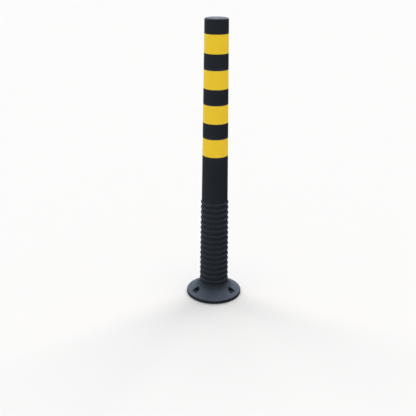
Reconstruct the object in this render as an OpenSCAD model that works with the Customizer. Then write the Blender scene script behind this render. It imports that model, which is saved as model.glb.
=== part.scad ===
// Flexible delineator post: a tapered, hollow polyurethane post with a ribbed
// flexible zone, a round base with counterbored fixing holes, and reflective bands.
// All sizes are in millimetres. +Z is up and the origin is under the middle of the base.

/* [Post] */
// Height of the whole post above the ground
post_h = 1000; // [880:10:1300]
// Outside diameter of the tube at its top
top_d = 80; // [64:1:100]
// Outside diameter that the tube's taper would reach at the ground
foot_d = 100; // [84:1:124]
// Wall thickness of the moulding
wall = 5; // [4:0.5:8]
// Thickness of the closed top
top_t = 5; // [3:0.5:10]
// Rounding of the shoulder around the top
shoulder_r = 5; // [2:0.5:10]

/* [Base] */
// Outside diameter of the base
base_d = 200; // [190:1:260]
// Height of the base at its rim
rim_h = 12; // [10:0.5:20]
// Rounding of the rim's upper edge
rim_top_r = 4.5; // [1:0.5:6]
// Rounding of the rim's lower edge
rim_bottom_r = 1.5; // [0.5:0.5:3]
// Slope of the base's top towards the rim, in degrees
base_slope = 12; // [4:0.5:16]
// Height at which the base ends and the flexible zone begins
flare_top = 45; // [40:1:60]
// How far the flare still stands out from the tube at that height
flare_out = 2.4; // [1:0.1:3]
// Slope of the flare at that height, in degrees
flare_steep = 51; // [40:1:55]

/* [Fixing holes] */
// Number of fixing holes
hole_count = 3; // [3:1:6]
// Diameter of the circle that the holes lie on
hole_pcd = 152; // [146:1:160]
// Diameter of each hole, for a masonry anchor
hole_d = 9; // [6:0.5:14]
// Diameter of the counterbore over each hole
pocket_d = 26; // [20:1:30]
// Height of the counterbore's floor above the ground
pocket_floor = 14.5; // [6:0.5:14.5]

/* [Flexible zone] */
// Number of ribs
rib_count = 16; // [4:1:20]
// Distance from one rib to the next
rib_pitch = 20; // [18:0.5:24]
// Height of each rib along the post
rib_w = 10; // [8:0.5:12]
// How far each rib stands proud of the tube
rib_proud = 2.8; // [1:0.1:4]

/* [Reflective bands] */
// Number of reflective bands
band_count = 4; // [1:1:4]
// Height of each band
band_w = 62.5; // [40:0.5:76]
// Bare tube between two bands
band_gap = 54.5; // [30:0.5:66]
// Bare tube above the first band
band_margin = 49.5; // [20:0.5:60]
// Thickness of the reflective sheeting
band_t = 0.4; // [0.2:0.1:1]
// Depth of the recess that protects each band
recess_depth = 0.6; // [0.4:0.1:1.5]
// Clearance above and below the sheeting in its recess
recess_gap = 0.5; // [0.2:0.1:2]

/* [Hidden] */
black = "#26292c";
rib_black = "#2c3034";
web_black = "#1c1e20";
base_black = "#34393f";
yellow = "#e3bf35";

// Web: the stretch of plain wall between two ribs
web_w = rib_pitch - rib_w;
flex_base = flare_top;
flex_top = flex_base + rib_count * rib_pitch + web_w;
base_r = base_d / 2;
// The rounding between the flare and the tube lies on the first web
fillet_corner = flare_out * tan(flare_steep);
fillet_h = min(fillet_corner + flare_out / cos(flare_steep), 0.8 * web_w);
// The bead is a circle whose chord on the tube is rib_w and whose rise is rib_proud
bead_r = (pow(rib_w / 2, 2) + pow(rib_proud, 2)) / (2 * rib_proud);
overcut = 1;
curve_steps = 16;
$fn = 128;

function two_digits(n) = n < 10 ? str("0", n) : str(n);
function rib_name(n) = str("flex_rib_", two_digits(n));
function web_name(n) = str("flex_web_", two_digits(n));
function band_name(n) = str("reflective_band_", n);

// Outside radius of the tapered tube at height z
function tube_r(z) = (foot_d - (foot_d - top_d) * z / post_h) / 2;
// Height at which rib n and web n begin, counted up from 1
function web_z(n) = flex_base + (n - 1) * rib_pitch;
function rib_z(n) = web_z(n) + web_w;
// Height at which band n begins, counted down from 1
function band_z(n) = post_h - band_margin - n * band_w - (n - 1) * band_gap;

// Points along an arc in a plane, from angle a0 to angle a1
function arc(cx, cy, r, a0, a1) = [
    for (i = [0:curve_steps])
        let (a = a0 + (a1 - a0) * i / curve_steps)
        [cx + r * cos(a), cy + r * sin(a)]
];

// Points along a curve that leaves p0 towards p1 and arrives at p2 from p1
function bend(p0, p1, p2) = [
    for (i = [0:curve_steps])
        let (t = i / curve_steps)
        p0 * pow(1 - t, 2) + p1 * 2 * t * (1 - t) + p2 * pow(t, 2)
];

// Half section of a skin that follows the taper, from inner to outer depth below it
module skin_section(z0, z1, inner, outer) {
    polygon([
        [tube_r(z0) - inner, z0],
        [tube_r(z0) - outer, z0],
        [tube_r(z1) - outer, z1],
        [tube_r(z1) - inner, z1]
    ]);
}

// Half section of one rounded bead with the wall behind it
module rib_section(z0) {
    mid = z0 + rib_w / 2;
    skin_section(z0, z0 + rib_w, wall, 0);
    intersection() {
        translate([tube_r(mid) + rib_proud - bead_r, mid]) circle(r = bead_r);
        translate([tube_r(mid) - wall / 2, z0]) square([wall / 2 + rib_proud, rib_w]);
    }
}

// Half section of the base, with its rounded rim and the flare up to the tube
module base_section() {
    rim_mid = rim_h + rim_top_r * tan(base_slope) - rim_top_r / cos(base_slope);
    slope_r = base_r - rim_top_r + rim_top_r * sin(base_slope);
    slope_z = rim_mid + rim_top_r * cos(base_slope);
    flare_r = tube_r(flare_top) + flare_out;
    // Where the line of the slope at the rim meets the line of the flare at its top
    meet_r = (flare_top + flare_r * tan(flare_steep) - slope_z - slope_r * tan(base_slope))
        / (tan(flare_steep) - tan(base_slope));
    meet_z = slope_z + (slope_r - meet_r) * tan(base_slope);
    polygon(concat(
        [[tube_r(0) - wall, 0]],
        arc(base_r - rim_bottom_r, rim_bottom_r, rim_bottom_r, -90, 0),
        arc(base_r - rim_top_r, rim_mid, rim_top_r, 0, 90 - base_slope),
        bend([slope_r, slope_z], [meet_r, meet_z], [flare_r, flare_top]),
        [[tube_r(flare_top) - wall, flare_top]]
    ));
}

// Half section of the first web, which rounds the top of the flare into the tube
module first_web_section() {
    top = flare_top + web_w;
    fillet_top = flare_top + fillet_h;
    polygon(concat(
        [[tube_r(flare_top) - wall, flare_top]],
        bend(
            [tube_r(flare_top) + flare_out, flare_top],
            [tube_r(flare_top), flare_top + fillet_corner],
            [tube_r(fillet_top), fillet_top]
        ),
        [[tube_r(top), top], [tube_r(top) - wall, top]]
    ));
}

// Half section of the tube, with its closed top and the bands' recesses
module tube_section() {
    shoulder_z = post_h - shoulder_r;
    cavity_top = post_h - top_t;
    difference() {
        polygon(concat(
            [[0, flex_top], [tube_r(flex_top), flex_top]],
            arc(tube_r(shoulder_z) - shoulder_r, shoulder_z, shoulder_r, 0, 90),
            [[0, post_h]]
        ));
        polygon([
            [-overcut, flex_top - overcut],
            [tube_r(flex_top - overcut) - wall, flex_top - overcut],
            [tube_r(cavity_top) - wall, cavity_top],
            [-overcut, cavity_top]
        ]);
        for (n = [1:band_count]) {
            skin_section(band_z(n) - recess_gap, band_z(n) + band_w + recess_gap, recess_depth, -overcut);
        }
    }
}

module base_flange() {
    color(base_black)
    difference() {
        rotate_extrude() base_section();
        for (n = [0:hole_count - 1]) {
            rotate([0, 0, 90 + n * 360 / hole_count])
            translate([hole_pcd / 2, 0, 0]) {
                translate([0, 0, -overcut]) cylinder(d = hole_d, h = pocket_floor + 2 * overcut);
                translate([0, 0, pocket_floor]) cylinder(d = pocket_d, h = flare_top);
            }
        }
    }
}

module flex_rib(n) {
    color(rib_black) rotate_extrude() rib_section(rib_z(n));
}

module flex_web(n) {
    color(web_black)
    rotate_extrude() {
        if (n == 1) first_web_section();
        else skin_section(web_z(n), web_z(n) + web_w, wall, 0);
    }
}

module post_tube() {
    color(black) rotate_extrude() tube_section();
}

module reflective_band(n) {
    color(yellow)
    rotate_extrude() skin_section(band_z(n), band_z(n) + band_w, recess_depth, recess_depth - band_t);
}

base_flange();
for (n = [1:rib_count]) flex_rib(n);
for (n = [1:rib_count + 1]) flex_web(n);
post_tube();
for (n = [1:band_count]) reflective_band(n);
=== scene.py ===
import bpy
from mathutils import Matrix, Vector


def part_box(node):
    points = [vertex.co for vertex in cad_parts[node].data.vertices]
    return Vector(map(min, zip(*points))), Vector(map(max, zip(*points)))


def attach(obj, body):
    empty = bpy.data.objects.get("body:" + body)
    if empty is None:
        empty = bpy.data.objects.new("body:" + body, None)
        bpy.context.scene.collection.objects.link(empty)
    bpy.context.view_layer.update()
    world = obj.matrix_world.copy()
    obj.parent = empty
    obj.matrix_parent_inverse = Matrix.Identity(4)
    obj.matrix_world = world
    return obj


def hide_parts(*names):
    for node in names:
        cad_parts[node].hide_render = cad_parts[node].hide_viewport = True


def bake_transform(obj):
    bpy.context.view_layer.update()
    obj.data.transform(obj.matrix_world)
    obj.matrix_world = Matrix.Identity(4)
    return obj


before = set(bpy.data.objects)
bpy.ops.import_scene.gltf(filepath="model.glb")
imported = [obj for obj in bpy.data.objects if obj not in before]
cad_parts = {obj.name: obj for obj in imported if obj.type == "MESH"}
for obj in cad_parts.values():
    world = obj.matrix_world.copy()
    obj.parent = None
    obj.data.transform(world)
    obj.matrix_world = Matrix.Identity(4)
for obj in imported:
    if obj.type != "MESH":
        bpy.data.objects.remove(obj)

"""Looks of a flexible delineator post: moulded black polyurethane with yellow reflective bands.

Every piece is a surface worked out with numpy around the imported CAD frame, in metres, +Z up.
"""

import logging
import math
from dataclasses import dataclass, field
from enum import Enum

import bmesh
import bpy
import numpy as np
from mathutils import Matrix, Vector

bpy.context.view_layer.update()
MM = 0.001
LOG = logging.getLogger("delineator")
ROUND_STEPS = 192          # divisions around the post
SECTORS = 3                # sectors of the base, one to each fixing hole
BEND_POINTS = 241          # points along a bend's curve
DUST_AND_SHEEN_FROM = 0.6          # upward part of a normal at which the dust and painted sheen begin
DUST_AND_SHEEN_SPAN = 0.2          # and how much more of it their full amount takes
SOFTBOX_REACH = 4.0        # metres out to a softbox; its light is the same at any reach


# ---------------------------------------------------------------- mesh making

def grid_faces(rows: int, cols: int, wrap_rows: bool, wrap_cols: bool) -> np.ndarray:
    """Quads that join a grid of points numbered row by row.

    Args:
        rows: number of rows in the grid.
        cols: number of points in a row.
        wrap_rows: join the last row to the first.
        wrap_cols: join the last point of each row to its first.

    Returns:
        An array of four point numbers to a quad.
    """
    r = np.arange(rows if wrap_rows else rows - 1)[:, None]
    c = np.arange(cols if wrap_cols else cols - 1)[None, :]
    r2, c2 = (r + 1) % rows, (c + 1) % cols
    quads = np.stack([r * cols + c, r * cols + c2, r2 * cols + c2, r2 * cols + c], axis=-1)
    return quads.reshape(-1, 4)


@dataclass
class Surface:
    """Points, faces, UVs and a wear value that together become one mesh."""

    points: np.ndarray
    quads: np.ndarray
    tris: np.ndarray = field(default_factory=lambda: np.zeros((0, 3), int))
    uv: np.ndarray | None = None
    wear: np.ndarray | None = None

    def __add__(self, other: "Surface") -> "Surface":
        """Both surfaces in one, still unwelded."""
        n = len(self.points)

        def both(a: np.ndarray | None, b: np.ndarray | None, width: int) -> np.ndarray:
            """The two value lists in one, with zeros where a surface has none."""
            first = np.zeros((n, width)) if a is None else a.reshape(n, width)
            second = np.zeros((len(other.points), width)) if b is None else b.reshape(-1, width)
            return np.vstack([first, second])

        return Surface(
            np.vstack([self.points, other.points]),
            np.vstack([self.quads, other.quads + n]),
            np.vstack([self.tris, other.tris + n]),
            both(self.uv, other.uv, 2),
            both(self.wear, other.wear, 1)[:, 0],
        )


def lathe(profile: np.ndarray, closed: bool, wear: np.ndarray | None = None) -> Surface:
    """Sweeps a half section round the Z axis.

    Point (i, j) is (r_i cos a_j, r_i sin a_j, z_i), with a_j in equal steps of a full turn.
    An open section begins and ends on the axis, and its two ends become single poles.

    Args:
        profile: radius and height of each point of the half section, in metres.
        closed: the section is a loop that stays off the axis.
        wear: a value from 0 to 1 for each point of the section.

    Returns:
        The swept surface.
    """
    ring = profile if closed else profile[1:-1]
    turn = np.arange(ROUND_STEPS) * (2 * np.pi / ROUND_STEPS)
    x = ring[:, :1] * np.cos(turn)
    y = ring[:, :1] * np.sin(turn)
    z = np.repeat(ring[:, 1:], ROUND_STEPS, axis=1)
    points = np.stack([x, y, z], axis=-1).reshape(-1, 3)
    quads = grid_faces(len(ring), ROUND_STEPS, closed, True)
    worn = np.zeros(len(profile)) if wear is None else wear
    tris = np.zeros((0, 3), int)
    along = worn if closed else worn[1:-1]
    marks = np.repeat(along, ROUND_STEPS)
    if not closed:
        first, last = len(points), len(points) + 1
        near = np.arange(ROUND_STEPS)
        far = near + (len(ring) - 1) * ROUND_STEPS
        tris = np.vstack([
            np.stack([np.full(ROUND_STEPS, first), np.roll(near, -1), near], axis=-1),
            np.stack([np.full(ROUND_STEPS, last), far, np.roll(far, -1)], axis=-1),
        ])
        ends = np.array([[0, 0, profile[0, 1]], [0, 0, profile[-1, 1]]])
        points = np.vstack([points, ends])
        marks = np.append(marks, worn[[0, -1]])
    return Surface(points, quads, tris, None, marks)


def to_object(name: str, surface: Surface, weld: float = 0.0, sharp: float = 38.0) -> bpy.types.Object:
    """Makes a Blender object from a surface, smooth but for its sharp edges.

    Args:
        name: the piece's name.
        surface: points and faces, in metres.
        weld: distance under which points are joined, or 0 to leave them.
        sharp: angle in degrees past which an edge is sharp.

    Returns:
        The new object, at the origin.
    """
    mesh = bpy.data.meshes.new(name)
    faces = [*surface.quads.tolist(), *surface.tris.tolist()]
    mesh.from_pydata(surface.points.tolist(), [], faces)
    corner_point = np.zeros(len(mesh.loops), dtype=np.int32)
    mesh.loops.foreach_get("vertex_index", corner_point)
    if surface.uv is not None:
        layer = mesh.uv_layers.new(name="skin")
        layer.data.foreach_set("uv", surface.uv[corner_point].astype(np.float32).ravel())
    if surface.wear is not None:
        marks = mesh.attributes.new("wear", "FLOAT", "POINT")
        marks.data.foreach_set("value", surface.wear.astype(np.float32))
    obj = bpy.data.objects.new(name, mesh)
    bpy.context.scene.collection.objects.link(obj)
    tidy_mesh(mesh, weld)
    mesh.polygons.foreach_set("use_smooth", np.ones(len(mesh.polygons), dtype=bool))
    mesh.set_sharp_from_angle(angle=math.radians(sharp))
    mesh.update()
    return obj


def tidy_mesh(mesh: bpy.types.Mesh, weld: float) -> None:
    """Welds doubled points, then turns every face outwards.

    Args:
        mesh: the mesh, changed in place.
        weld: distance under which points are joined, or 0 to leave them.
    """
    work = bmesh.new()
    work.from_mesh(mesh)
    if weld:
        bmesh.ops.remove_doubles(work, verts=work.verts, dist=weld)
    bmesh.ops.recalc_face_normals(work, faces=work.faces)
    work.to_mesh(mesh)
    work.free()


def mark_dust_and_sheen(mesh: bpy.types.Mesh) -> None:
    """Marks where dust and painted sheen go: an attribute that rises where the skin looks up.

    With n the upward part of the point's normal, t = (n - DUST_AND_SHEEN_FROM) / DUST_AND_SHEEN_SPAN held
    to 0..1, and the value is t^2 (3 - 2t). Walls stay at nought, and a rib takes some on its upper flank.

    Args:
        mesh: the mesh, which gets the attribute.
    """
    normals = np.zeros(len(mesh.vertices) * 3, dtype=np.float32)
    mesh.vertex_normals.foreach_get("vector", normals)
    t = np.clip((normals[2::3] - DUST_AND_SHEEN_FROM) / DUST_AND_SHEEN_SPAN, 0, 1)
    marks = mesh.attributes.new("dust_and_sheen_mask", "FLOAT", "POINT")
    marks.data.foreach_set("value", t ** 2 * (3 - 2 * t))


def arc(centre: tuple[float, float], radius: float, start: float, end: float,
        steps: int) -> np.ndarray:
    """Points on an arc: centre + radius (cos a, sin a), with a in equal steps between two angles.

    Args:
        centre: radius and height of the arc's centre.
        radius: the arc's radius.
        start: first angle, in degrees.
        end: last angle, in degrees.
        steps: number of steps between them.

    Returns:
        An array of radius and height, one row to a point.
    """
    a = np.radians(np.linspace(start, end, steps + 1))
    return np.stack([centre[0] + radius * np.cos(a), centre[1] + radius * np.sin(a)], axis=-1)


def bend(p0: tuple[float, float], p1: tuple[float, float], p2: tuple[float, float]) -> np.ndarray:
    """A curve that leaves p0 towards p1 and arrives at p2 from p1: (1-t)^2 p0 + 2t(1-t) p1 + t^2 p2."""
    t = np.linspace(0, 1, BEND_POINTS)[:, None]
    return np.array(p0) * (1 - t) ** 2 + 2 * np.array(p1) * t * (1 - t) + np.array(p2) * t ** 2


# ---------------------------------------------------------------- materials

def linear(hex_colour: str) -> tuple[float, float, float, float]:
    """Turns an sRGB hex value into a linear colour.

    Args:
        hex_colour: the colour, such as #26292c.

    Returns:
        Red, green and blue, and an alpha of 1.
    """
    value = np.array([int(hex_colour[i:i + 2], 16) for i in (1, 3, 5)]) / 255
    toned = np.where(value <= 0.04045, value / 12.92, ((value + 0.055) / 1.055) ** 2.4)
    return (*[float(v) for v in toned], 1.0)


def add(tree: bpy.types.NodeTree, kind: str, settings: dict | None = None,
        **links: object) -> bpy.types.Node:
    """Adds one node to a tree.

    Args:
        tree: the tree that gets the node.
        kind: the node's type, such as ShaderNodeMath.
        settings: attributes of the node, and values of its sockets by number or name.
        links: a socket that feeds an input; the keyword is the input's name with _ for a space,
            or i and its number.

    Returns:
        The new node.
    """
    made = tree.nodes.new(kind)
    for key, value in (settings or {}).items():
        if isinstance(key, int) or key in made.inputs:
            made.inputs[key].default_value = value
        else:
            setattr(made, key, value)
    for key, socket in links.items():
        numbered = key[0] == "i" and key[1:].isdigit()
        tree.links.new(socket, made.inputs[int(key[1:]) if numbered else key.replace("_", " ")])
    return made


def shader_tree(name: str) -> tuple[bpy.types.Material, bpy.types.NodeTree, bpy.types.Node]:
    """Starts a material.

    Args:
        name: the material's name.

    Returns:
        The material, its tree and its Principled shader.
    """
    material = bpy.data.materials.new(name)
    material.use_nodes = True
    tree = material.node_tree
    return material, tree, tree.nodes["Principled BSDF"]


class Finish(Enum):
    """The record's material slots, one to each finish."""

    MOULDING = "post_moulding"
    FILM = "reflective_film"


@dataclass(frozen=True)
class MouldedPolyurethane:
    """Cast black polyurethane elastomer, out of a fine-blasted steel mould.

    The blasted mould leaves a fine even grain, so the skin is satin, with a soft broad sheen where
    it turns up to the light. Crests that hands and tyres rub are a little smoother and greyer, and
    faces that look up are painted paler, bluer and matter than the skin: partly a thin bloom of wax
    and dust, partly painted sheen and top light.
    """

    name: str = "moulded_polyurethane"
    skin: str = "#1e2123"
    clouded: str = "#24282a"       # the skin's other tone
    rubbed: str = "#2c3137"
    dust_and_sheen: str = "#444c58"       # dusty bloom with painted sheen and top light, paler and bluer than the skin
    dust_and_sheen_matt: float = 0.26     # how much rougher the dusty, painted-sheen coat is than the skin
    dust_and_sheen_from: tuple[float, float] = (0.3, 0.65)    # cloud values over which the dust and painted sheen thicken
    dust_and_sheen_share: tuple[float, float] = (0.7, 1.0)    # and its share at each end
    roughness: tuple[float, float] = (0.40, 0.52)
    polish: float = 0.08           # how much smoother a rubbed crest is
    specular: float = 0.22
    sheen_tone: str = "#c4d9ff"    # the cold cast of the gloss
    ior: float = 1.5
    grain_mm: float = 0.9          # blasted grain is 0.2 mm: drawn coarser so that it shows
    grain_noise: tuple[float, float] = (2.0, 0.6)      # its detail and roughness
    grain_depth_mm: float = 0.05
    grain_strength: float = 0.5
    cloud_mm: float = 55.0         # slow change of tone across the moulding
    cloud_noise: tuple[float, float] = (3.0, 0.55)     # its detail and roughness

    def build(self) -> bpy.types.Material:
        """Makes the material.

        Returns:
            The material, on Object coordinates and the pieces' own wear attribute.
        """
        material, tree, shader = shader_tree(self.name)
        place = add(tree, "ShaderNodeTexCoord").outputs["Object"]
        cloud = add(tree, "ShaderNodeTexNoise", {
            "Scale": 1 / (self.cloud_mm * MM), "Detail": self.cloud_noise[0],
            "Roughness": self.cloud_noise[1]}, Vector=place).outputs["Fac"]
        grain = add(tree, "ShaderNodeTexNoise", {
            "Scale": 1 / (self.grain_mm * MM), "Detail": self.grain_noise[0],
            "Roughness": self.grain_noise[1]}, Vector=place).outputs["Fac"]
        wear = add(tree, "ShaderNodeAttribute", {"attribute_name": "wear"}).outputs["Fac"]
        tone = add(tree, "ShaderNodeMix", {"data_type": "RGBA", 6: linear(self.skin),
                                           7: linear(self.clouded)}, i0=cloud).outputs[2]
        patchy = add(tree, "ShaderNodeMath", {"operation": "MULTIPLY"}, i0=wear, i1=cloud).outputs[0]
        colour = add(tree, "ShaderNodeMix", {"data_type": "RGBA", 7: linear(self.rubbed)},
                     i0=patchy, i6=tone).outputs[2]
        # Upward faces are painted paler and bluer: partly dust, partly painted sheen and top light.
        dust_and_sheen_mask = add(tree, "ShaderNodeAttribute", {"attribute_name": "dust_and_sheen_mask"}).outputs["Fac"]
        dust_and_sheen_patches = add(tree, "ShaderNodeMapRange", {
            1: self.dust_and_sheen_from[0], 2: self.dust_and_sheen_from[1],
            3: self.dust_and_sheen_share[0], 4: self.dust_and_sheen_share[1]}, Value=cloud).outputs[0]
        dust_and_sheen_amount = add(tree, "ShaderNodeMath", {"operation": "MULTIPLY"}, i0=dust_and_sheen_mask, i1=dust_and_sheen_patches).outputs[0]
        with_dust_and_sheen = add(tree, "ShaderNodeMix", {"data_type": "RGBA", 7: linear(self.dust_and_sheen)},
                     i0=dust_and_sheen_amount, i6=colour).outputs[2]
        tree.links.new(with_dust_and_sheen, shader.inputs["Base Color"])
        rough = add(tree, "ShaderNodeMapRange", {3: self.roughness[0], 4: self.roughness[1]},
                    Value=cloud).outputs[0]
        polished = add(tree, "ShaderNodeMath", {"operation": "MULTIPLY_ADD", 1: -self.polish},
                       i0=wear, i2=rough).outputs[0]
        matt = add(tree, "ShaderNodeMath", {"operation": "MULTIPLY_ADD", 1: self.dust_and_sheen_matt},
                   i0=dust_and_sheen_amount, i2=polished).outputs[0]
        tree.links.new(matt, shader.inputs["Roughness"])
        bump = add(tree, "ShaderNodeBump", {
            "Strength": self.grain_strength, "Distance": self.grain_depth_mm * MM},
                   Height=grain).outputs[0]
        tree.links.new(bump, shader.inputs["Normal"])
        shader.inputs["IOR"].default_value = self.ior
        shader.inputs["Specular IOR Level"].default_value = self.specular
        shader.inputs["Specular Tint"].default_value = linear(self.sheen_tone)
        return material


@dataclass(frozen=True)
class ReflectiveSheeting:
    """Yellow microprismatic sheeting: a clear acrylic face over sealed prisms.

    The sealed cells show as a lattice of faint paler lines, and the smooth face gives a thin gloss.
    """

    name: str = "reflective_sheeting"
    cell: str = "#f7cf1c"
    seal: str = "#fbdf66"
    ink: str = "#f2c81a"           # the cells' other tone
    roughness: float = 0.42
    specular: float = 0.24
    coat: float = 0.06
    coat_roughness: float = 0.18
    cell_mm: float = 5.0
    seal_mm: float = 0.5
    seal_share: float = 0.35       # the lattice is drawn faint
    seal_depth_mm: float = 0.03
    seal_strength: float = 0.25
    cloud_mm: float = 40.0         # slow change of tone in the print
    cloud_detail: float = 2.0

    def build(self) -> bpy.types.Material:
        """Makes the material.

        Returns:
            The material, on the pieces' own UV map, whose unit is a metre along the film.
        """
        material, tree, shader = shader_tree(self.name)
        skin = add(tree, "ShaderNodeUVMap", {"uv_map": "skin"}).outputs[0]
        split = add(tree, "ShaderNodeSeparateXYZ", None, Vector=skin)
        lines = []
        for sign in (1.0, -1.0):
            slanted = add(tree, "ShaderNodeMath", {"operation": "MULTIPLY_ADD", 1: sign},
                          i0=split.outputs[1], i2=split.outputs[0]).outputs[0]
            away = add(tree, "ShaderNodeMath", {"operation": "PINGPONG", 1: self.cell_mm * MM / 2},
                       i0=slanted).outputs[0]
            lines.append(add(tree, "ShaderNodeMapRange", {1: 0.0, 2: self.seal_mm * MM, 3: 1.0, 4: 0.0},
                             Value=away).outputs[0])
        lattice = add(tree, "ShaderNodeMath", {"operation": "MAXIMUM"},
                      i0=lines[0], i1=lines[1]).outputs[0]
        place = add(tree, "ShaderNodeTexCoord").outputs["Object"]
        cloud = add(tree, "ShaderNodeTexNoise", {
            "Scale": 1 / (self.cloud_mm * MM), "Detail": self.cloud_detail},
                    Vector=place).outputs["Fac"]
        print_tone = add(tree, "ShaderNodeMix", {"data_type": "RGBA", 6: linear(self.cell),
                                                 7: linear(self.ink)}, i0=cloud).outputs[2]
        faint = add(tree, "ShaderNodeMath", {"operation": "MULTIPLY", 1: self.seal_share},
                    i0=lattice).outputs[0]
        colour = add(tree, "ShaderNodeMix", {"data_type": "RGBA", 7: linear(self.seal)},
                     i0=faint, i6=print_tone).outputs[2]
        tree.links.new(colour, shader.inputs["Base Color"])
        bump = add(tree, "ShaderNodeBump", {
            "Strength": self.seal_strength, "Distance": self.seal_depth_mm * MM},
                   Height=lattice).outputs[0]
        tree.links.new(bump, shader.inputs["Normal"])
        shader.inputs["Roughness"].default_value = self.roughness
        shader.inputs["Specular IOR Level"].default_value = self.specular
        shader.inputs["Coat Weight"].default_value = self.coat
        shader.inputs["Coat Roughness"].default_value = self.coat_roughness
        return material


# ---------------------------------------------------------------- the post

@dataclass
class PostSizes:
    """The moulding's sizes in metres, with places taken from the frame's nodes."""

    wall: float = 5 * MM
    rib_proud: float = 2.8 * MM
    rib_fillet: float = 2.0 * MM
    rib_count: int = 16
    height: float = field(init=False)
    flex_base: float = field(init=False)
    flex_top: float = field(init=False)
    pitch: float = field(init=False)
    rib_width: float = field(init=False)
    top_radius: float = 40 * MM
    foot_radius: float = 50 * MM
    flare_out: float = 2.4 * MM      # how far the flare stands out where the base ends
    flare_steep: float = 51.0        # and its slope there, in degrees

    def __post_init__(self) -> None:
        """Reads the heights off the frame."""
        self.height = float(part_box("post_tube")[1][2])
        self.flex_base = float(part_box("base_flange")[1][2])
        self.flex_top = float(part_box("post_tube")[0][2])
        low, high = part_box("flex_rib_01")
        self.rib_width = float(high[2] - low[2])
        self.pitch = float(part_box("flex_rib_02")[0][2] - low[2])

    def radius(self, z: np.ndarray | float) -> np.ndarray | float:
        """Outside radius of the plain taper: it falls evenly from the foot to the top."""
        return self.foot_radius - (self.foot_radius - self.top_radius) * z / self.height

    def rib_middle(self, n: int) -> float:
        """Height of the middle of rib n, counted up from 1."""
        return self.flex_base + (n - 1) * self.pitch + self.pitch - self.rib_width / 2

    def bead(self, away: np.ndarray) -> np.ndarray:
        """How far the skin stands proud at a distance from a rib's middle.

        A circle through the crest meets a smaller hollow circle at its foot, and the two share a
        tangent: inside the meeting point the rise is sqrt(R^2 - x^2) - (R - h), outside it is
        f - sqrt(f^2 - (x - X)^2), and past X it is nought.

        Args:
            away: distances from the rib's middle, in metres.

        Returns:
            The rise of the skin at each.
        """
        half, h, f = self.rib_width / 2, self.rib_proud, self.rib_fillet
        big = (half ** 2 + h ** 2) / (2 * h)
        reach = math.sqrt((big + f) ** 2 - (big - h + f) ** 2)
        meet = reach * big / (big + f)
        x = np.abs(away)
        crest = np.sqrt(np.maximum(big ** 2 - x ** 2, 0)) - (big - h)
        foot = f - np.sqrt(np.maximum(f ** 2 - (x - reach) ** 2, 0))
        return np.where(x < meet, crest, np.where(x < reach, foot, 0.0))

    def skin(self, z: np.ndarray) -> np.ndarray:
        """Outside radius in the flexible zone: the taper plus the rise of the nearest bead.

        Args:
            z: heights, in metres.

        Returns:
            The radius at each height, with the base's fillet where that lies.
        """
        start = self.rib_middle(1)
        nearest = np.clip(np.round((z - start) / self.pitch), 0, self.rib_count - 1)
        plain = self.radius(z) + self.bead(z - start - nearest * self.pitch)
        line = self.fillet()
        return np.where(z < line[-1, 1], np.interp(z, line[:, 1], line[:, 0]), plain)

    def fillet(self) -> np.ndarray:
        """The rounding from the flare into the tube, which lies on the first web.

        It leaves the flare along the flare's own slope and arrives along the tube's skin.

        Returns:
            Radius and height of its points, from the base up.
        """
        z, out, steep = self.flex_base, self.flare_out, math.radians(self.flare_steep)
        corner = out * math.tan(steep)
        top = z + corner + out / math.cos(steep)
        tube = float(self.radius(z))
        return bend((tube + out, z), (tube, z + corner), (float(self.radius(top)), top))


@dataclass
class FlexibleZone:
    """The ribbed zone: a ring to each rib, and walls between them."""

    sizes: PostSizes
    rib_rows: int = 40
    web_rows: int = 36
    bore_rows: int = 9           # rows down the inner wall of a slice
    crest_power: int = 4         # keeps the wear to the crests
    blended_down: tuple[int, ...] = (4, 16)    # webs whose two bodies are picked upper one first

    def ring(self, name: str, low: float, high: float, rows: int) -> bpy.types.Object:
        """One slice of the zone, from height low to height high, with its inner wall.

        The outer line is the skin's radius at rows that crowd towards both ends as a cosine does,
        so that neighbours' shading meets.

        Args:
            name: the piece's name.
            low: height of its lower end.
            high: height of its upper end.
            rows: number of rows up its outside.

        Returns:
            The finished piece.
        """
        z = low + (high - low) * (1 - np.cos(np.linspace(0, np.pi, rows))) / 2
        outer = np.stack([self.sizes.skin(z), z], axis=-1)
        inner_z = np.linspace(high, low, self.bore_rows)
        inner = np.stack([self.sizes.radius(inner_z) - self.sizes.wall, inner_z], axis=-1)
        rise = (self.sizes.skin(z) - self.sizes.radius(z)) / self.sizes.rib_proud
        wear = np.concatenate([np.clip(rise, 0, 1) ** self.crest_power, np.zeros(len(inner))])
        return to_object(name, lathe(np.vstack([outer, inner]), True, wear))

    def build(self, material: bpy.types.Material) -> None:
        """Makes every rib and web, and hangs each rib on its body.

        Each web stays where it is made and hangs on no body. Its two bodies are picked, the upper
        one first for the webs in blended_down, but nothing uses them.

        Args:
            material: the moulding's material.
        """
        s = self.sizes
        bodies = ["foot", *[f"segment_{n:02d}" for n in range(1, s.rib_count + 1)], "mast"]
        for n in range(1, s.rib_count + 1):
            middle = s.rib_middle(n)
            low, high = middle - s.rib_width / 2, middle + s.rib_width / 2
            rib = self.ring(f"rib_ring_{n:02d}", low, high, self.rib_rows)
            finish(rib, material, Finish.MOULDING)
            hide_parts(f"flex_rib_{n:02d}")
            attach(rib, bodies[n])
        for n in range(1, s.rib_count + 2):
            low = s.flex_base + (n - 1) * s.pitch
            high = low + s.pitch - s.rib_width
            web = self.ring(f"web_wall_{n:02d}", low, high, self.web_rows)
            finish(web, material, Finish.MOULDING)
            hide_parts(f"flex_web_{n:02d}")
            near, far = (bodies[n - 1], low), (bodies[n], high)
            if n in self.blended_down:
                near, far = far, near
            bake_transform(web)
        LOG.info("flexible zone: %d ribs and %d webs", s.rib_count, s.rib_count + 1)


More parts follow.
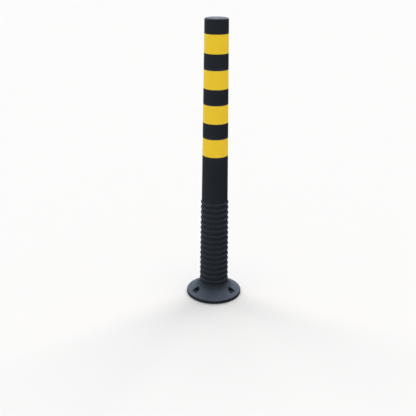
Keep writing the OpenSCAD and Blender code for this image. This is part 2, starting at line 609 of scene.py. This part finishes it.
@dataclass
class Tube:
    """The plain tube above the ribs, closed at its top, with a shallow recess to each band."""

    sizes: PostSizes
    top_thickness: float = 5 * MM
    shoulder: float = 5 * MM
    recess: float = 0.6 * MM
    recess_gap: float = 0.5 * MM
    lip: float = 0.35 * MM       # rounding of a recess's edges
    lip_rows: int = 5
    recess_rows: int = 12
    cavity_rows: int = 24
    plain_rows: int = 10         # rows up the skin below each band
    collar_rows: int = 8         # and above the top one
    shoulder_steps: int = 14
    cap_rings: tuple[float, float] = (0.02, 0.006)    # radii of the rows across the closed end
    shoulder_wear: float = 0.6

    def recess_line(self, low: float, high: float) -> np.ndarray:
        """The skin across one recess, from top to bottom: over a rounded lip, along, and out.

        The depth goes as 1 - cos over the upper lip and as 1 - sin over the lower one.

        Args:
            low: height of the recess's lower end.
            high: height of its upper end.

        Returns:
            Radius and height of its points.
        """
        turn = np.linspace(0, 1, self.lip_rows)
        floor = np.linspace(high, low, self.recess_rows)
        z = np.concatenate([high + self.lip * (1 - turn), floor, low - self.lip * turn])
        sink = np.concatenate([
            self.recess * (1 - np.cos(turn * np.pi / 2)), np.full(self.recess_rows, self.recess),
            self.recess * (1 - np.sin(turn * np.pi / 2)),
        ])
        return np.stack([self.sizes.radius(z) - sink, z], axis=-1)

    def build(self, material: bpy.types.Material) -> None:
        """Makes the tube as one section that runs from the cavity's pole to the top's pole.

        Args:
            material: the moulding's material.
        """
        s = self.sizes
        cavity = s.height - self.top_thickness
        inner_z = np.linspace(cavity, s.flex_top, self.cavity_rows)
        inner = np.stack([s.radius(inner_z) - s.wall, inner_z], axis=-1)
        inner = np.vstack([[[0, cavity]], [[self.cap_rings[0], cavity]], inner])
        bands = [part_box(f"reflective_band_{n}") for n in (4, 3, 2, 1)]
        outer, at = [], s.flex_top
        for low, high in bands:
            bottom, top = low[2] - self.recess_gap, high[2] + self.recess_gap
            plain = np.linspace(at, bottom - self.lip, self.plain_rows)[:-1]
            outer.append(np.stack([s.radius(plain), plain], axis=-1))
            outer.append(self.recess_line(bottom, top)[::-1])
            at = top + self.lip
        edge = s.height - self.shoulder
        plain = np.linspace(at, edge, self.collar_rows)[1:-1]
        outer.append(np.stack([s.radius(plain), plain], axis=-1))
        centre = (s.radius(edge) - self.shoulder, edge)
        outer.append(arc(centre, self.shoulder, 0, 90, self.shoulder_steps))
        outer.append(np.array([[r, s.height] for r in (*self.cap_rings, 0)]))
        profile = np.vstack([inner, *outer])
        wear = np.clip((profile[:, 1] - edge) / self.shoulder, 0, 1)
        wear[: len(inner)] = 0
        tube = to_object("tube_skin", lathe(profile, False, wear * self.shoulder_wear))
        finish(tube, material, Finish.MOULDING)
        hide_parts("post_tube")
        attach(tube, "mast")
        LOG.info("tube: %d faces", len(tube.data.polygons))


@dataclass
class Bands:
    """Yellow reflective bands: strips wrapped once round, with a short lap at the back."""

    sizes: PostSizes
    count: int = 4
    thickness: float = 0.4 * MM
    recess: float = 0.6 * MM
    lap: float = 9 * MM
    lap_thin: float = 0.5        # share of the thickness that the strip loses over the lap
    climb_share: float = 0.35    # share of the lap's length in which it climbs
    soft: float = 0.12 * MM      # rounding of the outer edges
    edge_share: float = 0.75     # share of the thickness left at those edges
    face_rows: int = 7           # rows up the strip's face
    face_span: tuple[float, float] = (0.02, 0.98)    # and the part of the face that they span
    steps: int = 260

    def strip(self, n: int) -> Surface:
        """One strip with its thickness.

        The strip runs round from the back to the back again and a lap further. Its inner radius
        is the recess's floor, and over the lap it climbs by half a thickness in a smooth step and
        thins to half. The four long edges are a rectangle carried along that path, a little
        rounded at its outer corners.

        Args:
            n: the band's number, counted down from 1.

        Returns:
            The closed strip, with a UV in metres along it and up it.
        """
        low, high = (float(c[2]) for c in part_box(f"reflective_band_{n}"))
        mean = float(self.sizes.radius((low + high) / 2))
        lap_turn = self.lap / mean
        turn = np.linspace(0, 2 * np.pi + lap_turn, self.steps)
        climb_turn = self.climb_share * lap_turn
        ramp = np.clip((turn - 2 * np.pi + climb_turn) / climb_turn, 0, 1)
        climb = self.thickness * self.lap_thin * ramp ** 2 * (3 - 2 * ramp)
        tall = high - low
        face = [[1.0, up] for up in np.linspace(*self.face_span, self.face_rows) * tall]
        rows = np.array([
            [0.0, 0.0], [1.0, 0.0], [1.0, self.soft], *face,
            [1.0, tall - self.soft], [1.0, tall], [0.0, tall],
        ])
        edges = (rows[:, 1] <= 0) | (rows[:, 1] >= tall)
        depth = np.where(edges, self.edge_share, 1.0) * rows[:, 0]
        z = low + rows[:, 1]
        thick = self.thickness * (1 - self.lap_thin * ramp)
        base = self.sizes.radius(z)[None, :] - self.recess
        r = base + climb[:, None] + depth[None, :] * thick[:, None]
        angle = turn[:, None] + np.pi / 2
        points = np.stack([r * np.cos(angle), r * np.sin(angle), np.broadcast_to(z, r.shape)], axis=-1)
        quads = grid_faces(len(turn), len(z), False, True)
        uv = np.stack(np.broadcast_arrays(turn[:, None] * mean, z[None, :]), axis=-1).reshape(-1, 2)
        surface = Surface(points.reshape(-1, 3), quads, uv=uv)
        ends = np.array([[0, i, i + 1] for i in range(1, len(z) - 1)])
        surface.tris = np.vstack([ends, ends[:, ::-1] + (len(turn) - 1) * len(z)])
        return surface

    def build(self, material: bpy.types.Material) -> None:
        """Makes each band.

        Args:
            material: the film's material.
        """
        for n in range(1, self.count + 1):
            band = to_object(f"band_film_{n}", self.strip(n))
            finish(band, material, Finish.FILM)
            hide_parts(f"reflective_band_{n}")
            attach(band, "mast")
        LOG.info("bands: %d", self.count)


@dataclass
class Base:
    """The round base, with its rim, its flare and three counterbored fixing holes."""

    sizes: PostSizes
    rim_height: float = 12 * MM
    rim_top: float = 4.5 * MM
    rim_bottom: float = 1.5 * MM
    slope: float = 12.0
    hole_circle: float = 76 * MM
    pocket: float = 13 * MM
    hole: float = 4.5 * MM
    floor: float = 14.5 * MM
    lip: float = 0.7 * MM        # rounding of the pocket's mouth
    toe: float = 0.8 * MM        # rounding where its wall meets its floor
    chamfer: float = 0.6 * MM    # of the hole's mouth
    round_share: float = 0.45    # most of the pocket's depth that its lip or its toe may take
    strip_radius: float = 56 * MM
    side_steps: int = 22
    spokes: int = 18
    spoke_crowd: float = 1.35    # draws the loops on the top in towards the pocket
    lip_steps: int = 5
    wall_steps: int = 5
    toe_steps: int = 4
    floor_steps: int = 5
    under_steps: int = 8
    under_crowd: float = 1.2     # and those on the underside in towards the hole
    rim_steps: int = 14
    heel_steps: int = 8
    flare_rows: int = 18
    bore_rows: int = 8
    rim_wear: float = 0.5
    weld: float = 0.005 * MM

    @property
    def radius(self) -> float:
        """Outside radius of the base, from the frame."""
        return float(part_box("base_flange")[1][0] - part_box("base_flange")[0][0]) / 2

    @property
    def rim_middle(self) -> float:
        """Height of the middle of the rim's upper rounding."""
        slope = math.radians(self.slope)
        return self.rim_height + self.rim_top * (math.tan(slope) - 1 / math.cos(slope))

    def rim_end(self) -> tuple[float, float]:
        """Where the rim's rounding ends and the sloping top begins."""
        slope = math.radians(self.slope)
        out = self.radius - self.rim_top * (1 - math.sin(slope))
        return (out, self.rim_middle + self.rim_top * math.cos(slope))

    def flare(self) -> np.ndarray:
        """The base's top, from its rim in to the flexible zone.

        It leaves the rim at the slope's angle and ends at the flare's: a bend between the two
        lines that have those angles.

        Returns:
            Radius and height of its points, from the rim in.
        """
        s = self.sizes
        r0, z0 = self.rim_end()
        r2, z2 = float(s.radius(s.flex_base)) + s.flare_out, s.flex_base
        low, steep = math.tan(math.radians(self.slope)), math.tan(math.radians(s.flare_steep))
        r1 = (z2 + r2 * steep - z0 - r0 * low) / (steep - low)
        return bend((r0, z0), (r1, z0 + (r0 - r1) * low), (r2, z2))

    def top_height(self, r: np.ndarray | float) -> np.ndarray:
        """Height of the base's top at a radius, read off the flare's line."""
        line = self.flare()
        return np.interp(r, line[::-1, 0], line[::-1, 1])

    def sector_edge(self, inner: float, outer: float) -> np.ndarray:
        """Points round the edge of a third of a ring, in the order in which a pocket's rim turns.

        Its sides are two arcs and two spokes, each in equal steps. The sector is centred on +X.

        Args:
            inner: radius of its inner arc.
            outer: radius of its outer arc.

        Returns:
            X and Y of each point, going round once.
        """
        half = np.pi / SECTORS
        arc_steps = ROUND_STEPS // SECTORS
        a = np.linspace(-half, half, arc_steps + 1)[:-1]
        r = np.linspace(outer, inner, self.side_steps + 1)[:-1]
        sides = [
            (np.full(len(a), outer), a), (r, np.full(len(r), half)),
            (np.full(len(a), inner), -a), (inner + outer - r, np.full(len(r), -half)),
        ]
        radius = np.concatenate([side[0] for side in sides])
        angle = np.concatenate([side[1] for side in sides])
        return np.stack([radius * np.cos(angle), radius * np.sin(angle)], axis=-1)

    def spread(self, edge: np.ndarray, size: float | np.ndarray, shares: np.ndarray) -> np.ndarray:
        """Loops that open from a circle round the pocket's middle out to the sector's edge.

        Each point goes straight from the circle to its place on the edge: c + (1-t) size u + t (e-c).

        Args:
            edge: the sector's edge.
            size: radius of the circle, or one for each point.
            shares: how far along its way each loop is, from 0 to 1.

        Returns:
            X and Y, one loop to a row.
        """
        middle = np.array([self.hole_circle, 0.0])
        away = edge - middle
        unit = away / np.linalg.norm(away, axis=1, keepdims=True)
        t = shares[:, None, None]
        reach = np.broadcast_to(size, len(edge))[:, None]
        return middle + (1 - t) * reach * unit + t * away

    def sector(self) -> Surface:
        """A third of the base: its top, pocket, hole and underside as one grid of loops.

        Returns:
            The sector, centred on +X, with its edges open.
        """
        top_edge = self.sector_edge(self.strip_radius, self.rim_end()[0])
        foot = float(self.sizes.radius(0.0)) - self.sizes.wall
        under_edge = self.sector_edge(foot, self.radius - self.rim_bottom)
        shares = np.linspace(1, 0, self.spokes + 1) ** self.spoke_crowd

        def height(flat: np.ndarray) -> np.ndarray:
            """Height of the base's top over each point."""
            return self.top_height(np.linalg.norm(flat, axis=-1))

        def circle(size: float | np.ndarray, z: np.ndarray | float) -> np.ndarray:
            """A loop on a circle round the pocket's middle, at one height or at many."""
            flat = self.spread(top_edge, size, np.zeros(1))
            return np.dstack([flat, np.broadcast_to(z, flat.shape[:2])])

        def rising(steps: int) -> np.ndarray:
            """Equal steps up to one, without nought."""
            return np.linspace(0, 1, steps + 1)[1:]

        deep = height(circle(self.pocket + self.lip, 0.0)[0, :, :2]) - self.floor
        most = self.round_share * deep
        lip, toe = np.minimum(self.lip, most), np.minimum(self.toe, most)
        top = self.spread(top_edge, self.pocket + lip, shares)
        loops = [np.dstack([top, height(top)])]
        brink = height(top[-1])
        for turn in rising(self.lip_steps) * np.pi / 2:
            size = self.pocket + lip * (1 - math.sin(turn))
            loops.append(circle(size, brink - lip * (1 - math.cos(turn))))
        for step in rising(self.wall_steps):
            loops.append(circle(self.pocket, (brink - lip) * (1 - step) + (self.floor + toe) * step))
        for turn in rising(self.toe_steps) * np.pi / 2:
            size = self.pocket - toe * (1 - math.cos(turn))
            loops.append(circle(size, self.floor + toe * (1 - math.sin(turn))))
        mouth = self.hole + self.chamfer
        for step in rising(self.floor_steps):
            loops.append(circle((self.pocket - toe) * (1 - step) + mouth * step, self.floor))
        throat = self.floor - self.chamfer
        for z in (throat, throat / 2, 0.0):
            loops.append(circle(self.hole, z))
        shares = (np.linspace(0, 1, self.under_steps + 1) ** self.under_crowd)[1:]
        under = self.spread(under_edge, self.hole, shares)
        loops.append(np.dstack([under, np.zeros(under.shape[:2])]))
        grid = np.vstack(loops)
        return Surface(grid.reshape(-1, 3), grid_faces(*grid.shape[:2], False, True))

    def turned(self, surface: Surface, degrees: float) -> Surface:
        """The same surface turned about Z.

        Args:
            surface: the surface.
            degrees: how far it turns, from +X towards +Y.

        Returns:
            The turned copy.
        """
        a = math.radians(degrees)
        turn = np.array([[math.cos(a), math.sin(a), 0], [-math.sin(a), math.cos(a), 0], [0, 0, 1]])
        return Surface(surface.points @ turn, surface.quads, surface.tris, surface.uv, surface.wear)

    def band(self, profile: np.ndarray, wear: float = 0.0) -> Surface:
        """An open strip swept round the axis, whose divisions meet the sectors' arcs.

        Args:
            profile: radius and height of each point of the strip, in metres.
            wear: the wear value all over it, from 0 to 1.

        Returns:
            The strip, with its two edges open.
        """
        first = np.pi / 2 - np.pi / SECTORS
        turn = first + np.arange(ROUND_STEPS) * (2 * np.pi / ROUND_STEPS)
        x, y = (profile[:, :1] * f(turn) for f in (np.cos, np.sin))
        z = np.repeat(profile[:, 1:], ROUND_STEPS, axis=1)
        points = np.stack([x, y, z], axis=-1).reshape(-1, 3)
        return Surface(points, grid_faces(len(profile), ROUND_STEPS, False, True),
                       wear=np.full(len(points), wear))

    def build(self, material: bpy.types.Material) -> None:
        """Welds the three sectors, the rim and the flare into one base.

        Args:
            material: the moulding's material.
        """
        shoulder = (self.radius - self.rim_top, self.rim_middle)
        heel = (self.radius - self.rim_bottom, self.rim_bottom)
        rim = np.vstack([
            arc(shoulder, self.rim_top, 90 - self.slope, 0, self.rim_steps),
            arc(heel, self.rim_bottom, 0, -90, self.heel_steps),
        ])
        line = self.flare()
        inside = line[line[:, 0] < self.strip_radius]
        pick = np.linspace(0, len(inside) - 1, self.flare_rows).astype(int)
        start = np.array([[self.strip_radius, float(self.top_height(self.strip_radius))]])
        wall_z = np.linspace(self.sizes.flex_base, 0, self.bore_rows)
        wall = np.stack([self.sizes.radius(wall_z) - self.sizes.wall, wall_z], axis=-1)
        inner = np.vstack([start, inside[pick], wall])
        whole = self.band(rim, self.rim_wear) + self.band(inner)
        third = self.sector()
        for k in range(SECTORS):
            whole = whole + self.turned(third, 90 + 360 / SECTORS * k)
        base = to_object("base_moulding", whole, weld=self.weld)
        finish(base, material, Finish.MOULDING)
        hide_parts("base_flange")
        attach(base, "foot")
        LOG.info("base: %d faces", len(base.data.polygons))


def finish(piece: bpy.types.Object, material: bpy.types.Material, slot: Finish) -> None:
    """Gives a piece its material, and on a moulded one marks where dust and painted sheen go.

    Args:
        piece: the piece.
        material: its material.
        slot: the record's slot that the material stands for.
    """
    piece.data.materials.clear()
    piece.data.materials.append(material)
    if slot is Finish.MOULDING:
        mark_dust_and_sheen(piece.data)


# ---------------------------------------------------------------- the studio

@dataclass(frozen=True)
class Softbox:
    """A soft light far away: its bearing, height and width in degrees, its power and its colour.

    The bearing is counted from straight behind the post, and grows to the right.
    """

    name: str
    bearing: float
    height: float
    width: float
    power: float
    tone: str = "#fffaf0"

    def build(self) -> None:
        """Hangs the light, facing the post."""
        data = bpy.data.lights.new(self.name, "SUN")
        data.angle = math.radians(self.width)
        data.energy = self.power
        data.color = linear(self.tone)[:3]
        light = bpy.data.objects.new(self.name, data)
        b, h = math.radians(self.bearing), math.radians(self.height)
        place = Vector((math.sin(b) * math.cos(h), math.cos(b) * math.cos(h), math.sin(h)))
        light.location = place * SOFTBOX_REACH
        light.rotation_euler = (-place).to_track_quat("-Z", "Y").to_euler()
        bpy.context.scene.collection.objects.link(light)


@dataclass
class Studio:
    """A pale floor, a soft surround, three softboxes behind and one overhead, and the camera."""

    lens: float = 58.82
    shift: float = -0.03125      # of the frame's width: the aim lies a little above its middle
    pitch: float = 20.809
    roll: float = 0.419
    yaw: float = -0.609
    distance: float = 2.2632
    height: float = 1.2449
    floor_size: float = 400.0
    floor_tone: str = "#c9c9ca"
    front: float = 1.0           # brightness of the surround in front of the post
    back: float = 0.8            # and behind it
    turning: tuple[float, float] = (-0.3, 0.6)     # y of a direction, from front to back
    overhead: float = 0.3        # share of the front's brightness that is left high up
    overhead_y: tuple[float, float] = (0.0, 0.35)    # y over which the loss above fades out
    overhead_z: tuple[float, float] = (0.4, 0.85)    # and z over which it sets in
    horizon: tuple[float, float] = (-0.05, 0.32)     # z over which below turns to above
    below: float = 0.2           # what the gloss sees under the horizon, in place of the floor
    below_tilt: float = -1.0     # which is brighter on the left than on the right
    tilt_left: float = -0.02     # the left side is a little brighter than the right
    back_tone: str = "#cfe0ff"
    sensor: float = 36.0
    clipping: tuple[float, float] = (0.05, 800.0)
    softboxes: tuple[Softbox, ...] = (
        Softbox("back_left_softbox", -46, 38, 30, 1.25),
        Softbox("back_right_softbox", 38, 40, 28, 1.4),
        Softbox("back_softbox", 0, 40, 46, 1.8),
        Softbox("top_softbox", 180, 86, 50, 0.8),
    )

    def floor(self) -> None:
        """Lays a wide sheet of pale paper.

        It takes shadows and throws soft light back up, but it isn't mirrored in the post and
        blocks no light.
        """
        half = self.floor_size / 2
        side = np.linspace(-half, half, 3)
        x, y = np.meshgrid(side, side)
        points = np.stack([x, y, np.zeros_like(x)], axis=-1).reshape(-1, 3)
        sheet = to_object("studio_floor", Surface(points, grid_faces(3, 3, False, False)))
        material, _, shader = shader_tree("pale_paper")
        shader.inputs["Base Color"].default_value = linear(self.floor_tone)
        shader.inputs["Roughness"].default_value = 1.0
        shader.inputs["Specular IOR Level"].default_value = 0.0
        sheet.data.materials.append(material)
        sheet.visible_glossy = sheet.visible_shadow = False

    def sky(self) -> None:
        """A surround whose brightness goes by direction.

        Above the horizon it goes smoothly from its front to its back value as the direction's y
        rises through the turning range, and is scaled by 1 + tilt_left * x. High up in front it
        falls to the overhead share. Below the horizon it is dim, and scaled by 1 + below_tilt * x.
        The two meet smoothly over the horizon range. Its colour goes from white in front to a pale
        blue behind.
        """
        world = bpy.data.worlds.new("studio_surround")
        world.use_nodes = True
        tree = world.node_tree
        way = add(tree, "ShaderNodeTexCoord").outputs["Generated"]
        x, y, z = add(tree, "ShaderNodeSeparateXYZ", None, Vector=way).outputs
        smooth = {"interpolation_type": "SMOOTHSTEP"}
        turning = {**smooth, 1: self.turning[0], 2: self.turning[1]}
        dome = add(tree, "ShaderNodeMapRange", {**turning, 3: self.front, 4: self.back},
                   Value=y).outputs[0]
        slant = add(tree, "ShaderNodeMath", {"operation": "MULTIPLY_ADD", 1: self.tilt_left, 2: 1.0},
                    i0=x).outputs[0]
        loss = add(tree, "ShaderNodeMapRange", {
            **smooth, 1: self.overhead_y[0], 2: self.overhead_y[1], 3: self.overhead - 1, 4: 0.0},
                   Value=y).outputs[0]
        climb = add(tree, "ShaderNodeMapRange", {
            **smooth, 1: self.overhead_z[0], 2: self.overhead_z[1]}, Value=z).outputs[0]
        high = add(tree, "ShaderNodeMath", {"operation": "MULTIPLY_ADD", 2: 1.0},
                   i0=loss, i1=climb).outputs[0]
        sides = add(tree, "ShaderNodeMath", {"operation": "MULTIPLY"}, i0=dome, i1=slant).outputs[0]
        upper = add(tree, "ShaderNodeMath", {"operation": "MULTIPLY"}, i0=sides, i1=high).outputs[0]
        rear = add(tree, "ShaderNodeMapRange", turning, Value=y).outputs[0]
        tone = add(tree, "ShaderNodeMix", {"data_type": "RGBA", 6: linear("#ffffff"),
                                           7: linear(self.back_tone)}, i0=rear).outputs[2]
        lower = add(tree, "ShaderNodeMath", {"operation": "MULTIPLY_ADD", 1: self.below * self.below_tilt,
                                             2: self.below}, i0=x).outputs[0]
        level = add(tree, "ShaderNodeMapRange", {**smooth, 1: self.horizon[0], 2: self.horizon[1]},
                    Value=z, To_Min=lower, To_Max=upper).outputs[0]
        ground = tree.nodes["Background"]
        tree.links.new(tone, ground.inputs[0])
        tree.links.new(level, ground.inputs[1])
        bpy.context.scene.world = world

    def camera(self) -> None:
        """Stands the camera in front of the post and above it, tilted down."""
        yaw, pitch, roll = (math.radians(a) for a in (self.yaw, self.pitch, self.roll))
        level = math.cos(pitch)
        ahead = Vector((math.sin(yaw) * level, math.cos(yaw) * level, -math.sin(pitch)))
        right = Vector((math.cos(yaw), -math.sin(yaw), 0))
        up = right.cross(ahead)
        side = right * math.cos(roll) + up * math.sin(roll)
        top = -right * math.sin(roll) + up * math.cos(roll)
        data = bpy.data.cameras.new("studio_camera")
        data.lens = self.lens
        data.sensor_width = self.sensor
        data.shift_y = self.shift
        data.clip_start, data.clip_end = self.clipping
        camera = bpy.data.objects.new("studio_camera", data)
        turn = Matrix((side, top, -ahead)).transposed().to_4x4()
        camera.matrix_world = Matrix.Translation((0, -self.distance, self.height)) @ turn
        bpy.context.scene.collection.objects.link(camera)
        bpy.context.scene.camera = camera

    def build(self) -> None:
        """Sets up the floor, the surround, the lights and the camera."""
        self.floor()
        self.sky()
        for box in self.softboxes:
            box.build()
        self.camera()
        bpy.context.scene.view_settings.view_transform = "Standard"
        LOG.info("studio: %d softboxes", len(self.softboxes))


def main() -> None:
    """Builds the post from the ground up, then the studio around it."""
    logging.basicConfig(level=logging.INFO)
    sizes = PostSizes()
    moulding = MouldedPolyurethane().build()
    sheeting = ReflectiveSheeting().build()
    Base(sizes).build(moulding)
    FlexibleZone(sizes).build(moulding)
    Tube(sizes).build(moulding)
    Bands(sizes).build(sheeting)
    Studio().build()


if __name__ == "__main__":
    main()
